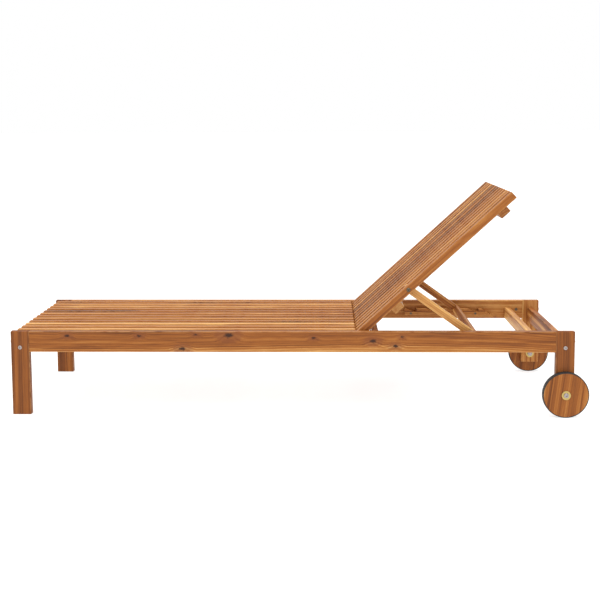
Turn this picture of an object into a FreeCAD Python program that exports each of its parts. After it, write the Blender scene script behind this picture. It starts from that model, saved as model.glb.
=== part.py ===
import FreeCAD, Part
import math
import os
import re
import Sketcher

# Reclining sun lounger in oiled hardwood: four legs and two side rails, a fixed seat of
# narrow slats, a slatted backrest that turns on two pins, and a prop whose bar is set
# into notched racks. Two wooden wheels stand at the head end.
# Millimetres. X runs from the foot end to the head end, Y across, Z up. The origin is on
# the floor, under the middle of the lounger's box.

SIZES = {
    # Frame
    "frame_length": 1955,
    "frame_width": 600,
    "frame_height": 296,
    "board_thickness": 22,
    "leg_breadth": 65,
    "rail_height": 73,
    "end_rail_height": 55,
    "cross_rail_rise": 2,
    "cross_rail_thickness": 22,
    "tenon_length": 10,
    "tenon_thickness": 12,
    "tenon_shoulder": 7,
    "middle_rail_from_foot": 596,
    "hinge_rail_before_pivot": 62,
    "stop_rail_from_pivot": 49.5,
    "head_rail_from_pivot": 601,
    "edge_easing": 2,
    # Seat
    "slat_depth": 27,
    "seat_slat_count": 12,
    "seat_slat_width": 23,
    "seat_side_gap": 15.7,
    "seat_slat_from_foot": 12,
    "slat_easing": 3,
    # Backrest
    "pivot_from_head": 738,
    "seat_to_back_gap": 1,
    "flat_gap": 1.5,
    "recline_angle": 42.5,
    "back_length": 716,
    "back_slat_count": 13,
    "back_slat_width": 22,
    "back_side_gap": 4.8,
    "batten_breadth": 40,
    "batten_thickness": 20,
    "batten_side_gap": 5,
    "lower_batten_from_pivot": 139,
    "upper_batten_from_pivot": 630,
    "pivot_pin_diameter": 10,
    "pivot_pin_in_rail": 12,
    "pivot_pin_cover": 4,
    "pivot_washer_diameter": 20,
    # Prop
    "prop_from_pivot": 229,
    "prop_length": 297,
    "prop_arm_depth": 26,
    "prop_bar_thickness": 21,
    "prop_bar_side_gap": 1,
    "prop_side_gap": 0.85,
    "prop_bolt_diameter": 8,
    "prop_bolt_head_diameter": 14,
    "prop_bolt_head_height": 3.5,
    "prop_bolt_in_slat": 15,
    # Racks
    "rack_before_first_notch": 38,
    "rack_length": 347,
    "rack_thickness": 20,
    "rack_height": 27,
    "rack_below_seat": 2.5,
    "rack_end_slope_length": 40,
    "notch_count": 4,
    "resting_notch": 3,
    "notch_pitch": 82.5,
    "notch_depth": 13.5,
    "notch_slope_angle": 21,
    "notch_seat_radius": 8,
    "notch_seat_offset": 2,
    # Wheels
    "wheel_radius": 79,
    "wheel_width": 20,
    "tyre_thickness": 3,
    "leg_below_axle": 35,
    "axle_diameter": 10,
    "axle_head_diameter": 17,
    "axle_head_height": 4.5,
    "axle_socket_diameter": 7,
    "axle_socket_depth": 3,
    "axle_nut_width": 17,
    "axle_nut_height": 6,
    "axle_end_length": 2,
    "washer_diameter": 31,
    "washer_thickness": 2,
    # Connector bolts and barrel nuts
    "connector_diameter": 6,
    "connector_length": 98,
    "connector_tip": 8,
    "connector_head_diameter": 13.5,
    "connector_head_height": 3,
    "connector_socket_diameter": 5.8,
    "connector_socket_depth": 2,
    "end_bolt_below_seat": 30,
    "barrel_diameter": 12,
    "barrel_length": 16,
    # Wood screws
    "screw_diameter": 4.5,
    "screw_head_diameter": 9,
    "screw_head_height": 3,
    "screw_bite": 17,
    "seat_screw_grip": 28,
    "back_screw_grip": 17,
    "prop_screw_bite": 32,
    "rack_screw_bite": 14,
    "rack_screw_rise": 7,
    "rack_screw_first": 25,
    "rack_screw_spacing": 257,
    # Clearances
    "running_clearance": 0.05,
    "hole_clearance": 0.2,
    "tenon_clearance": 0.2,
    "turning_gap": 0.3,
}

SIDES = ("left", "right")

doc = FreeCAD.newDocument("SunLounger")
sheet = doc.addObject("Spreadsheet::Sheet", "sizes")
for row, (alias, value) in enumerate(SIZES.items(), start=1):
    sheet.set(f"A{row}", alias)
    sheet.set(f"B{row}", str(value))
    sheet.setAlias(f"B{row}", alias)
doc.recompute()

NODES = []


# ---------------------------------------------------------------- formulas and helpers

def formula(text):
    """Turn each size's plain name in a formula into its cell in the sheet."""
    return re.sub(r"[a-z]+(?:_[a-z]+)+", lambda word: "sizes." + word.group(), text)


def bind(item, **formulas):
    """Bind properties of an object to formulas."""
    for name, text in formulas.items():
        item.setExpression(name, formula(str(text)))


def place(item, x, y, z, axis="0; 1; 0", angle="0"):
    """Bind an object's place, and its turn about one axis."""
    text = f"placement(vector({x}; {y}; {z}); rotation(vector({axis}); {angle}))"
    item.setExpression("Placement", formula(text))


def side_y(side, start, end):
    """Lowest y of a stretch from start to end, measured inwards from a rail's outer face."""
    if side == "left":
        return f"-frame_width / 2 + ({start})"
    return f"frame_width / 2 - ({end})"


def from_foot(distance):
    """X of a distance from the outer face of the foot legs."""
    return f"{distance} - {MIDDLE}"


def node(item, label):
    """Name a finished sub-part and keep it for export."""
    item.Label = label
    NODES.append(item)
    return item


def box(name, length, width, height, x, y, z, axis="0; 1; 0", angle="0"):
    item = doc.addObject("Part::Box", name)
    bind(item, Length=length, Width=width, Height=height)
    place(item, x, y, z, axis, angle)
    return item


def rod(name, radius, length, x, y, z, along):
    """A cylinder from a point along +X, +Y or +Z."""
    turns = {"x": ("0; 1; 0", "90"), "y": ("1; 0; 0", "-90"), "z": ("0; 1; 0", "0")}
    item = doc.addObject("Part::Cylinder", name)
    bind(item, Radius=radius, Height=length)
    place(item, x, y, z, *turns[along])
    return item


def join(name, pieces):
    if len(pieces) == 1:
        return pieces[0]
    item = doc.addObject("Part::MultiFuse", name)
    item.Shapes = pieces
    return item


def cut(name, base, tools):
    item = doc.addObject("Part::Cut", name)
    item.Base = base
    item.Tool = join(name + "_tools", tools)
    return item


def group(label, pieces):
    """Identical fasteners: separate solids in one sub-part."""
    item = doc.addObject("Part::Compound", label)
    item.Links = pieces
    return node(item, label)


def ease(body, feature, wanted, radius, name):
    """Round the edges of a body's feature that the test picks out."""
    feature.recompute()
    edges = [f"Edge{i}" for i, edge in enumerate(feature.Shape.Edges, start=1) if wanted(edge)]
    rounding = body.newObject("PartDesign::Fillet", name)
    rounding.Base = (feature, edges)
    bind(rounding, Radius=radius)
    body.Tip = rounding
    return rounding


def runs_along(axis):
    """A test for straight edges that run along X, Y or Z."""
    number = "xyz".index(axis)

    def test(edge):
        start, end = edge.Vertexes[0].Point, edge.Vertexes[-1].Point
        span = [abs(end[k] - start[k]) for k in range(3)]
        return span[number] > 0 and span[number] == max(span)
    return test


def board(name, length, width, height, x, y, z, grain="x", radius="edge_easing", all_edges=False):
    """A straight piece of timber with its long edges, or all its edges, eased."""
    body = doc.addObject("PartDesign::Body", name)
    block = body.newObject("PartDesign::AdditiveBox", name + "_block")
    bind(block, Length=length, Width=width, Height=height)
    wanted = (lambda edge: True) if all_edges else runs_along(grain)
    ease(body, block, wanted, radius, name + "_easing")
    place(body, x, y, z)
    return body


# Overall length runs from the bolt heads at the foot end to the backs of the wheels.
MIDDLE = "(frame_length - leg_breadth / 2 + wheel_radius - connector_head_height) / 2"
LEG_CENTRES = {"foot": "leg_breadth / 2", "head": "frame_length - leg_breadth / 2"}
RAIL_BOTTOM = "frame_height - rail_height"
BOLT_LEVEL = "frame_height - rail_height / 2"
SEAT_SUPPORT = "frame_height - slat_depth"
BACK_SUPPORT = "frame_height - slat_depth - flat_gap"
END_BOLT_LEVEL = f"{SEAT_SUPPORT} - end_bolt_below_seat"
INNER_WIDTH = "frame_width - 2 * board_thickness"
CROSS_RAIL_HEIGHT = "(rail_height - slat_depth - cross_rail_rise)"
TENON_HEIGHT = f"({CROSS_RAIL_HEIGHT} - 2 * tenon_shoulder)"
LOOSE_CONNECTOR = "connector_diameter / 2 + hole_clearance"
LOOSE_BARREL = "barrel_diameter / 2 + hole_clearance"
LOOSE_SCREW = "screw_diameter / 2 + hole_clearance"
LOOSE_SCREW_HEAD = "screw_head_diameter / 2 + hole_clearance"
PIVOT = "(frame_length - pivot_from_head)"
PIVOT_LEVEL = "frame_height - slat_depth / 2"
WHEEL_LEG_BOTTOM = "wheel_radius - leg_below_axle"

# Slats share the width between the side rails, less a gap at each side.
SEAT_PITCH = f"(({INNER_WIDTH} - 2 * seat_side_gap - seat_slat_width) / (seat_slat_count - 1))"
BACK_PITCH = f"(({INNER_WIDTH} - 2 * back_side_gap - back_slat_width) / (back_slat_count - 1))"
seat_slat_centres = [
    f"({i} - (seat_slat_count - 1) / 2) * {SEAT_PITCH}" for i in range(SIZES["seat_slat_count"])]
back_slat_centres = [
    f"({i} - (back_slat_count - 1) / 2) * {BACK_PITCH}" for i in range(SIZES["back_slat_count"])]

# The prop hangs from the reclined backrest until a corner of its bar rests in a notch.
RACK_TOP = f"{SEAT_SUPPORT} - rack_below_seat"
RACK_BOTTOM = f"{RACK_TOP} - rack_height"
NOTCH_BOTTOM = f"{RACK_TOP} - notch_depth"
PROP_X = f"{PIVOT} + prop_from_pivot * cos(recline_angle)"
PROP_Z = f"{PIVOT_LEVEL} + prop_from_pivot * sin(recline_angle)"
CORNER_REACH = "sqrt(prop_length * prop_length + prop_arm_depth * prop_arm_depth / 4)"
CORNER_ANGLE = "atan(prop_arm_depth / (2 * prop_length))"
CORNER_DROP = f"asin(({PROP_Z} - ({NOTCH_BOTTOM})) / {CORNER_REACH})"
PROP_DROP = f"{CORNER_DROP} - {CORNER_ANGLE}"
RESTING_CORNER = f"{PROP_X} + {CORNER_REACH} * cos({CORNER_DROP})"
FIRST_NOTCH = f"({RESTING_CORNER} - (resting_notch - 1) * notch_pitch)"
RACK_START = f"({FIRST_NOTCH} - rack_before_first_notch)"
RACK_SCREW_Z = f"{RACK_BOTTOM} + rack_screw_rise"
RACK_SCREW_X = [f"{RACK_START} + rack_screw_first + {i} * rack_screw_spacing" for i in range(2)]

# Cross rails: name, distance from the foot end, level of the top, row of seat screws
CROSS_RAILS = (
    ("seat_cross_rail_middle", "middle_rail_from_foot", SEAT_SUPPORT, 1),
    ("seat_cross_rail_hinge", f"{PIVOT} - hinge_rail_before_pivot", SEAT_SUPPORT, 2),
    ("backrest_stop_rail", f"{PIVOT} + stop_rail_from_pivot", BACK_SUPPORT, None),
    ("head_cross_rail", f"{PIVOT} + head_rail_from_pivot", BACK_SUPPORT, None),
)


# ---------------------------------------------------------------- side rails and legs

def tenon_place(start, top):
    """X and Z of the low corner of a cross rail's tenon."""
    x = f"{start} + (cross_rail_thickness - tenon_thickness) / 2"
    z = f"{top} - {CROSS_RAIL_HEIGHT} + tenon_shoulder"
    return x, z


def side_rail(side):
    """Side rail: bored for its leg bolts and barrel nuts, mortised for the cross rails."""
    label = f"side_rail_{side}"
    blank = board(label + "_blank", "frame_length - 2 * leg_breadth", "board_thickness",
                  "rail_height", from_foot("leg_breadth"), side_y(side, "0", "board_thickness"),
                  RAIL_BOTTOM)
    tools = []
    bolt_depth = "(connector_length - leg_breadth + 1)"
    nut_inset = "(connector_length - connector_tip - leg_breadth)"
    middle = side_y(side, "board_thickness / 2", "board_thickness / 2")
    starts = {"foot": "leg_breadth", "head": f"frame_length - leg_breadth - {bolt_depth}"}
    nuts = {"foot": f"leg_breadth + {nut_inset}", "head": f"frame_length - leg_breadth - {nut_inset}"}
    for end in ("foot", "head"):
        tools.append(rod(f"{label}_bolt_hole_{end}", LOOSE_CONNECTOR, bolt_depth,
                         from_foot(starts[end]), middle, BOLT_LEVEL, "x"))
        nut_start = "board_thickness - barrel_length - hole_clearance"
        tools.append(rod(f"{label}_nut_hole_{end}", LOOSE_BARREL, "barrel_length + hole_clearance",
                         from_foot(nuts[end]), side_y(side, nut_start, "board_thickness"),
                         BOLT_LEVEL, "y"))
    for name, start, top, _ in CROSS_RAILS:
        x, z = tenon_place(start, top)
        depth = "tenon_length + tenon_clearance"
        tools.append(box(f"{label}_{name}_mortise", "tenon_thickness + 2 * tenon_clearance", depth,
                         f"{TENON_HEIGHT} + 2 * tenon_clearance", from_foot(f"{x} - tenon_clearance"),
                         side_y(side, f"board_thickness - ({depth})", "board_thickness"),
                         f"{z} - tenon_clearance"))
    pin_start = "board_thickness - pivot_pin_in_rail - hole_clearance"
    tools.append(rod(f"{label}_pivot_hole", "pivot_pin_diameter / 2 + hole_clearance",
                     "pivot_pin_in_rail + hole_clearance", from_foot(PIVOT),
                     side_y(side, pin_start, "board_thickness"), PIVOT_LEVEL, "y"))
    screw_start = "board_thickness - rack_screw_bite - hole_clearance"
    for i in range(2):
        tools.append(rod(f"{label}_rack_screw_hole_{i}", LOOSE_SCREW,
                         "rack_screw_bite + hole_clearance", from_foot(RACK_SCREW_X[i]),
                         side_y(side, screw_start, "board_thickness"), RACK_SCREW_Z, "y"))
    return node(cut(label, blank, tools), label)


def leg(end, side):
    """Leg: bored lengthwise for the side rail's bolt and across for the end rail's bolt."""
    label = f"foot_leg_{side}" if end == "foot" else f"wheel_leg_{side}"
    start = {"foot": "0", "head": "frame_length - leg_breadth"}[end]
    bottom = {"foot": "0", "head": WHEEL_LEG_BOTTOM}[end]
    across = side_y(side, "0", "board_thickness")
    blank = board(label + "_blank", "leg_breadth", "board_thickness", f"frame_height - ({bottom})",
                  from_foot(start), across, bottom, "z", all_edges=True)
    tools = [
        rod(label + "_rail_bolt_hole", LOOSE_CONNECTOR, "leg_breadth", from_foot(start),
            side_y(side, "board_thickness / 2", "board_thickness / 2"), BOLT_LEVEL, "x"),
        rod(label + "_end_bolt_hole", LOOSE_CONNECTOR, "board_thickness",
            from_foot(LEG_CENTRES[end]), across, END_BOLT_LEVEL, "y"),
    ]
    if end == "head":
        tools.append(rod(label + "_axle_hole", "axle_diameter / 2 + hole_clearance",
                         "board_thickness", from_foot(LEG_CENTRES[end]), across,
                         "wheel_radius", "y"))
    return node(cut(label, blank, tools), label)


def end_rail(end):
    """End rail between two legs: bored in both ends, with its barrel nuts from the inside."""
    label = f"{end}_end_rail"
    top = {"foot": SEAT_SUPPORT, "head": BACK_SUPPORT}[end]
    start = f"{LEG_CENTRES[end]} - board_thickness / 2"
    blank = board(label + "_blank", "board_thickness", INNER_WIDTH, "end_rail_height",
                  from_foot(start), f"-({INNER_WIDTH}) / 2", f"{top} - end_rail_height", "y")
    tools = []
    depth = "(connector_length - board_thickness + 1)"
    nut = "(connector_length - connector_tip)"
    nut_start = {"foot": f"{start} + board_thickness - barrel_length - hole_clearance",
                 "head": start}[end]
    for side in SIDES:
        tools.append(rod(f"{label}_bolt_hole_{side}", LOOSE_CONNECTOR, depth,
                         from_foot(LEG_CENTRES[end]),
                         side_y(side, "board_thickness", f"board_thickness + {depth}"),
                         END_BOLT_LEVEL, "y"))
        tools.append(rod(f"{label}_nut_hole_{side}", LOOSE_BARREL, "barrel_length + hole_clearance",
                         from_foot(nut_start), side_y(side, nut, nut), END_BOLT_LEVEL, "x"))
    if end == "foot":
        tools += seat_screw_holes(label, 0, "end_rail_height")
    return node(cut(label, blank, tools), label)


def clear_of_end_bolts(number):
    """Whether a seat slat lies inside the bolts that run into the foot end rail's ends."""
    inner_width = SIZES["frame_width"] - 2 * SIZES["board_thickness"]
    shared = inner_width - 2 * SIZES["seat_side_gap"] - SIZES["seat_slat_width"]
    pitch = shared / (SIZES["seat_slat_count"] - 1)
    from_side = min(number, SIZES["seat_slat_count"] - 1 - number) * pitch
    from_side += SIZES["board_thickness"] + SIZES["seat_side_gap"] + SIZES["seat_slat_width"] / 2
    return from_side > SIZES["connector_length"] + SIZES["screw_head_diameter"]


ALL_SLATS = range(SIZES["seat_slat_count"])
SEAT_SCREW_ROWS = [
    (LEG_CENTRES["foot"], [i for i in ALL_SLATS if clear_of_end_bolts(i)]),
    (f"{CROSS_RAILS[0][1]} + cross_rail_thickness / 2", ALL_SLATS),
    (f"{CROSS_RAILS[1][1]} + cross_rail_thickness / 2", ALL_SLATS),
]


def seat_screw_holes(label, row, height):
    """A stepped hole under each screwed slat, from the underside of a rail of this height."""
    tools = []
    recess = f"{height} - seat_screw_grip + screw_head_height"
    centre, slats = SEAT_SCREW_ROWS[row]
    for i in slats:
        y = seat_slat_centres[i]
        tools.append(rod(f"{label}_screw_hole_{i}", LOOSE_SCREW, height, from_foot(centre), y,
                         f"{SEAT_SUPPORT} - {height}", "z"))
        tools.append(rod(f"{label}_screw_recess_{i}", LOOSE_SCREW_HEAD, recess, from_foot(centre), y,
                         f"{SEAT_SUPPORT} - {height}", "z"))
    return tools


def cross_rail(label, start, top, screw_row):
    """Cross rail with a stub tenon at each end; those under the seat are bored for its screws."""
    tenon_x, tenon_z = tenon_place(start, top)
    tenon_width = f"({INNER_WIDTH} + 2 * tenon_length)"
    whole = board(label + "_blank", "cross_rail_thickness", INNER_WIDTH, CROSS_RAIL_HEIGHT,
                  from_foot(start), f"-({INNER_WIDTH}) / 2", f"{top} - {CROSS_RAIL_HEIGHT}", "y")
    tenons = box(label + "_tenons", "tenon_thickness", tenon_width, TENON_HEIGHT,
                 from_foot(tenon_x), f"-{tenon_width} / 2", tenon_z)
    piece = join(label + "_with_tenons", [whole, tenons])
    if screw_row:
        piece = cut(label, piece, seat_screw_holes(label, screw_row, CROSS_RAIL_HEIGHT))
    return node(piece, label)


for each_side in SIDES:
    side_rail(each_side)
for each_end in ("foot", "head"):
    for each_side in SIDES:
        leg(each_end, each_side)
    end_rail(each_end)
for rail in CROSS_RAILS:
    cross_rail(*rail)


# ---------------------------------------------------------------- seat

SEAT_SLAT_LENGTH = f"{PIVOT} - slat_depth / 2 - seat_to_back_gap - seat_slat_from_foot"


def seat_slats():
    """Twelve slats cut from one pattern, each screwed down from below."""
    blank = board("seat_slat_blank", SEAT_SLAT_LENGTH, "seat_slat_width", "slat_depth",
                  "0", "-seat_slat_width / 2", "0", radius="slat_easing", all_edges=True)
    holes = [rod(f"seat_slat_screw_hole_{row}", LOOSE_SCREW, "screw_bite + hole_clearance",
                 f"{centre} - seat_slat_from_foot", "0", "0", "z")
             for row, (centre, _) in enumerate(SEAT_SCREW_ROWS)]
    for i, y in enumerate(seat_slat_centres):
        label = f"seat_slat_{i + 1:02d}"
        tools = [hole for hole, (_, slats) in zip(holes, SEAT_SCREW_ROWS) if i in slats]
        slat = cut(label, blank, tools)
        place(slat, from_foot("seat_slat_from_foot"), y, SEAT_SUPPORT)
        node(slat, label)


seat_slats()


# ---------------------------------------------------------------- racks

def rack(side):
    """Notched strip on a side rail's inner face: four notches, each a slope and a round seat."""
    label = f"rack_{side}"
    across = side_y(side, "board_thickness", "board_thickness + rack_thickness")
    blank = board(label + "_blank", "rack_length", "rack_thickness", "rack_height",
                  from_foot(RACK_START), across, RACK_BOTTOM, radius="edge_easing / 2")
    slope_length = "(notch_depth / sin(notch_slope_angle) + edge_easing)"
    tools = []
    for i in range(SIZES["notch_count"]):
        low_x = f"{FIRST_NOTCH} + {i} * notch_pitch"
        tools.append(box(f"{label}_slope_{i}", slope_length, "rack_thickness", "notch_depth",
                         from_foot(f"{low_x} - {slope_length} * cos(notch_slope_angle)"), across,
                         f"{NOTCH_BOTTOM} + {slope_length} * sin(notch_slope_angle)",
                         angle="notch_slope_angle"))
        tools.append(rod(f"{label}_seat_{i}", "notch_seat_radius", "rack_thickness",
                         from_foot(f"{low_x} + notch_seat_offset"), across,
                         f"{NOTCH_BOTTOM} + notch_seat_radius", "y"))
    end_angle = "atan(rack_height / rack_end_slope_length)"
    end_start = f"{RACK_START} + rack_length - rack_end_slope_length"
    tools.append(box(f"{label}_end_slope", "2 * rack_end_slope_length", "rack_thickness",
                     "2 * rack_height", from_foot(end_start), across, RACK_TOP,
                     angle=end_angle))
    for i in range(2):
        head_start = "board_thickness + rack_thickness - screw_head_height"
        tools.append(rod(f"{label}_screw_hole_{i}", LOOSE_SCREW, "rack_thickness",
                         from_foot(RACK_SCREW_X[i]), across, RACK_SCREW_Z, "y"))
        tools.append(rod(f"{label}_screw_recess_{i}", LOOSE_SCREW_HEAD, "screw_head_height",
                         from_foot(RACK_SCREW_X[i]),
                         side_y(side, head_start, "board_thickness + rack_thickness"),
                         RACK_SCREW_Z, "y"))
    return node(cut(label, blank, tools), label)


for each_side in SIDES:
    rack(each_side)


# ---------------------------------------------------------------- backrest

BACK_TURN = "-recline_angle"
BATTENS = {"lower": "lower_batten_from_pivot", "upper": "upper_batten_from_pivot"}
BATTEN_LENGTH = f"({INNER_WIDTH} - 2 * batten_side_gap)"


def on_backrest(item, y="0"):
    """Set a piece that is drawn about the pivot, lying flat, at the resting angle."""
    place(item, from_foot(PIVOT), y, PIVOT_LEVEL, angle=BACK_TURN)
    return item


def back_member_blank():
    """A long board whose lower end is a half round about the pivot."""
    body = doc.addObject("PartDesign::Body", "back_member_blank")
    sketch = body.newObject("Sketcher::SketchObject", "back_member_outline")
    plane = [item for item in body.Origin.OriginFeatures if item.Role == "XZ_Plane"][0]
    sketch.AttachmentSupport = [(plane, "")]
    sketch.MapMode = "FlatFace"
    half, far = SIZES["slat_depth"] / 2, SIZES["back_length"]
    corners = [(0, -half), (far, -half), (far, half), (0, half)]
    points = [FreeCAD.Vector(x, y, 0) for x, y in corners]
    for start, end in zip(points, points[1:]):
        sketch.addGeometry(Part.LineSegment(start, end), False)
    circle = Part.Circle(FreeCAD.Vector(0, 0, 0), FreeCAD.Vector(0, 0, 1), half)
    sketch.addGeometry(Part.ArcOfCircle(circle, math.pi / 2, 3 * math.pi / 2), False)
    for first, second in ((0, 1), (1, 2)):
        sketch.addConstraint(Sketcher.Constraint("Coincident", first, 2, second, 1))
    sketch.addConstraint(Sketcher.Constraint("Coincident", 3, 3, -1, 1))
    sketch.addConstraint(Sketcher.Constraint("Tangent", 2, 2, 3, 1))
    sketch.addConstraint(Sketcher.Constraint("Tangent", 3, 2, 0, 1))
    sketch.addConstraint(Sketcher.Constraint("Horizontal", 0))
    sketch.addConstraint(Sketcher.Constraint("Vertical", 1))
    depth = sketch.addConstraint(Sketcher.Constraint("Radius", 3, half))
    length = sketch.addConstraint(Sketcher.Constraint("DistanceX", -1, 1, 1, 1, far))
    sketch.setExpression(f"Constraints[{depth}]", formula("slat_depth / 2"))
    sketch.setExpression(f"Constraints[{length}]", formula("back_length"))
    pad = body.newObject("PartDesign::Pad", "back_member_pad")
    pad.Profile = sketch
    bind(pad, Length="back_slat_width")
    doc.recompute()
    ease(body, pad, lambda edge: True, "edge_easing", "back_member_easing")
    return body


def batten_screw_holes(name, y):
    """Blind holes from a member's underside at both battens."""
    return [rod(f"{name}_{which}", LOOSE_SCREW, "screw_bite + hole_clearance",
                f"{start} + batten_breadth / 2", y, "-slat_depth / 2", "z")
            for which, start in BATTENS.items()]


STILE_OUTER = "board_thickness + back_side_gap"
PIN_IN_STILE = "(back_slat_width - pivot_pin_cover)"


def back_members():
    """Two stiles and eleven slats from one pattern; the outer two each side carry the prop."""
    blank = back_member_blank()
    centred = doc.addObject("Part::Compound", "back_member_centred")
    centred.Links = [blank]
    place(centred, "0", "back_slat_width / 2", "0")
    screw_holes = join("back_member_screw_holes", batten_screw_holes("back_member_screw_hole", "0"))
    prop_hole = "prop_bolt_diameter / 2 + hole_clearance"
    prop_depth = "prop_bolt_in_slat + hole_clearance"
    last = len(back_slat_centres) - 1
    slat_number = 0
    for i, y in enumerate(back_slat_centres):
        tools = [screw_holes]
        side = "left" if i < last / 2 else "right"
        if i in (0, last):
            label = f"backrest_stile_{side}"
            tools.append(rod(label + "_prop_hole", prop_hole, "back_slat_width", "prop_from_pivot",
                             "-back_slat_width / 2", "0", "y"))
            start = {"left": "-back_slat_width / 2",
                     "right": f"back_slat_width / 2 - {PIN_IN_STILE} - hole_clearance"}[side]
            tools.append(rod(label + "_pivot_hole", "pivot_pin_diameter / 2 + running_clearance",
                             f"{PIN_IN_STILE} + hole_clearance", "0", start, "0", "y"))
        else:
            slat_number += 1
            label = f"backrest_slat_{slat_number:02d}"
        if i in (1, last - 1):
            start = {"left": "-back_slat_width / 2",
                     "right": f"back_slat_width / 2 - ({prop_depth})"}[side]
            tools.append(rod(label + "_prop_hole", prop_hole, prop_depth, "prop_from_pivot",
                             start, "0", "y"))
        member = cut(label, centred, tools)
        on_backrest(member, y)
        node(member, label)


def batten(which):
    """Batten across the underside of the members, with a stepped screw hole for each."""
    label = f"backrest_batten_{which}"
    start = BATTENS[which]
    blank = board(label + "_blank", "batten_breadth", BATTEN_LENGTH, "batten_thickness",
                  start, f"-{BATTEN_LENGTH} / 2", "-slat_depth / 2 - batten_thickness", "y")
    tools = []
    recess = "batten_thickness - back_screw_grip + screw_head_height"
    for i, y in enumerate(back_slat_centres):
        for name, radius, depth in (("hole", LOOSE_SCREW, "batten_thickness"),
                                    ("recess", LOOSE_SCREW_HEAD, recess)):
            tools.append(rod(f"{label}_{name}_{i}", radius, depth, f"{start} + batten_breadth / 2",
                             y, "-slat_depth / 2 - batten_thickness", "z"))
    return node(on_backrest(cut(label, blank, tools)), label)


# ---------------------------------------------------------------- prop

ARM_OUTER = f"{STILE_OUTER} + back_slat_width + prop_side_gap"
ARM_THICKNESS = f"({BACK_PITCH} - back_slat_width - 2 * prop_side_gap)"
ARM_INNER = f"{ARM_OUTER} + {ARM_THICKNESS}"
ARM_LENGTH = "(prop_length - prop_bar_thickness)"
BAR_LENGTH = f"({INNER_WIDTH} - 2 * rack_thickness - 2 * prop_bar_side_gap)"


def on_prop(item):
    """Set a piece that is drawn about the prop's pivot, pointing along +X, at rest."""
    place(item, from_foot(PROP_X), "0", PROP_Z, angle=PROP_DROP)
    return item


def prop_arm(side):
    """Arm with a round top end about its bolt, and a screw hole in its lower end."""
    label = f"prop_arm_{side}"
    across = side_y(side, ARM_OUTER, ARM_INNER)
    centre = side_y(side, f"({ARM_OUTER} + {ARM_INNER}) / 2", f"({ARM_OUTER} + {ARM_INNER}) / 2")
    straight = board(label + "_blank", ARM_LENGTH, ARM_THICKNESS, "prop_arm_depth",
                     "0", across, "-prop_arm_depth / 2", radius="edge_easing / 2")
    top = rod(label + "_top", "prop_arm_depth / 2", ARM_THICKNESS, "0", across, "0", "y")
    tools = [
        rod(label + "_bolt_hole", "prop_bolt_diameter / 2 + running_clearance",
            ARM_THICKNESS, "0", across, "0", "y"),
        rod(label + "_screw_hole", LOOSE_SCREW, "prop_screw_bite + hole_clearance",
            f"{ARM_LENGTH} - prop_screw_bite - hole_clearance", centre, "0", "x"),
    ]
    return node(on_prop(cut(label, join(label + "_whole", [straight, top]), tools)), label)


def prop_bar():
    """Bar across both arms, which drops into the racks."""
    blank = board("prop_bar_blank", "prop_bar_thickness", BAR_LENGTH, "prop_arm_depth",
                  ARM_LENGTH, f"-{BAR_LENGTH} / 2", "-prop_arm_depth / 2", "y")
    tools = []
    for side in SIDES:
        centre = side_y(side, f"({ARM_OUTER} + {ARM_INNER}) / 2", f"({ARM_OUTER} + {ARM_INNER}) / 2")
        tools.append(rod(f"prop_bar_screw_hole_{side}", LOOSE_SCREW, "prop_bar_thickness",
                         ARM_LENGTH, centre, "0", "x"))
        tools.append(rod(f"prop_bar_screw_recess_{side}", LOOSE_SCREW_HEAD, "screw_head_height",
                         "prop_length - screw_head_height", centre, "0", "x"))
    return node(on_prop(cut("prop_bar", blank, tools)), "prop_bar")


# ---------------------------------------------------------------- wheels

WHEEL_START = "-(washer_thickness + turning_gap + wheel_width)"
WHEEL_END = "-(washer_thickness + turning_gap)"


def disc_body(name, radius, width, hole, easing, x, y, z):
    """A turned disc with a hole, and the rims of its outside eased."""
    body = doc.addObject("PartDesign::Body", name)
    disc = body.newObject("PartDesign::AdditiveCylinder", name + "_disc")
    bind(disc, Radius=radius, Height=width)
    disc.recompute()
    bore = body.newObject("PartDesign::SubtractiveCylinder", name + "_bore")
    bind(bore, Radius=hole, Height=width)
    doc.recompute()
    outside = disc.Shape.BoundBox.XMax

    def on_rim(edge):
        return edge.Closed and edge.BoundBox.XMax > outside - 0.01 and edge.Curve.Radius > 1
    ease(body, bore, on_rim, easing, name + "_easing")
    place(body, x, y, z, "1; 0; 0", "-90")
    return body


def wheel(side):
    """Solid wooden disc, with a thin rubber tyre round it."""
    across = side_y(side, WHEEL_START, WHEEL_END)
    place_at = (from_foot(LEG_CENTRES["head"]), across, "wheel_radius")
    disc = disc_body(f"wheel_disc_{side}", "wheel_radius - tyre_thickness", "wheel_width",
                     "axle_diameter / 2 + running_clearance", "edge_easing / 4", *place_at)
    tyre = disc_body(f"wheel_tyre_{side}", "wheel_radius", "wheel_width",
                     "wheel_radius - tyre_thickness", "edge_easing / 2", *place_at)
    node(disc, f"wheel_disc_{side}")
    node(tyre, f"wheel_tyre_{side}")


# ---------------------------------------------------------------- metal parts

def hex_hole(name, circle_diameter, depth, z):
    item = doc.addObject("Part::Prism", name)
    item.Polygon = 6
    bind(item, Circumradius=f"{circle_diameter} / 2", Height=depth)
    place(item, "0", "0", z)
    return item


def socket_bolt(name, diameter, length, head, head_height, socket, socket_depth):
    """A bolt whose shank runs down from z = 0, with its socket head above."""
    shank = rod(name + "_shank", f"{diameter} / 2", length, "0", "0", f"-({length})", "z")
    cap = rod(name + "_head", f"{head} / 2", head_height, "0", "0", "0", "z")
    whole = join(name + "_whole", [shank, cap])
    return whole, hex_hole(name + "_socket", socket, socket_depth, f"{head_height} - {socket_depth}")


def copies(name, base, tool, places):
    """Copies of one pattern, each at its own place."""
    made = []
    for i, each_place in enumerate(places):
        copy = doc.addObject("Part::Cut", f"{name}_{i}")
        copy.Base = base
        copy.Tool = tool
        place(copy, *each_place)
        made.append(copy)
    return made


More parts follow.
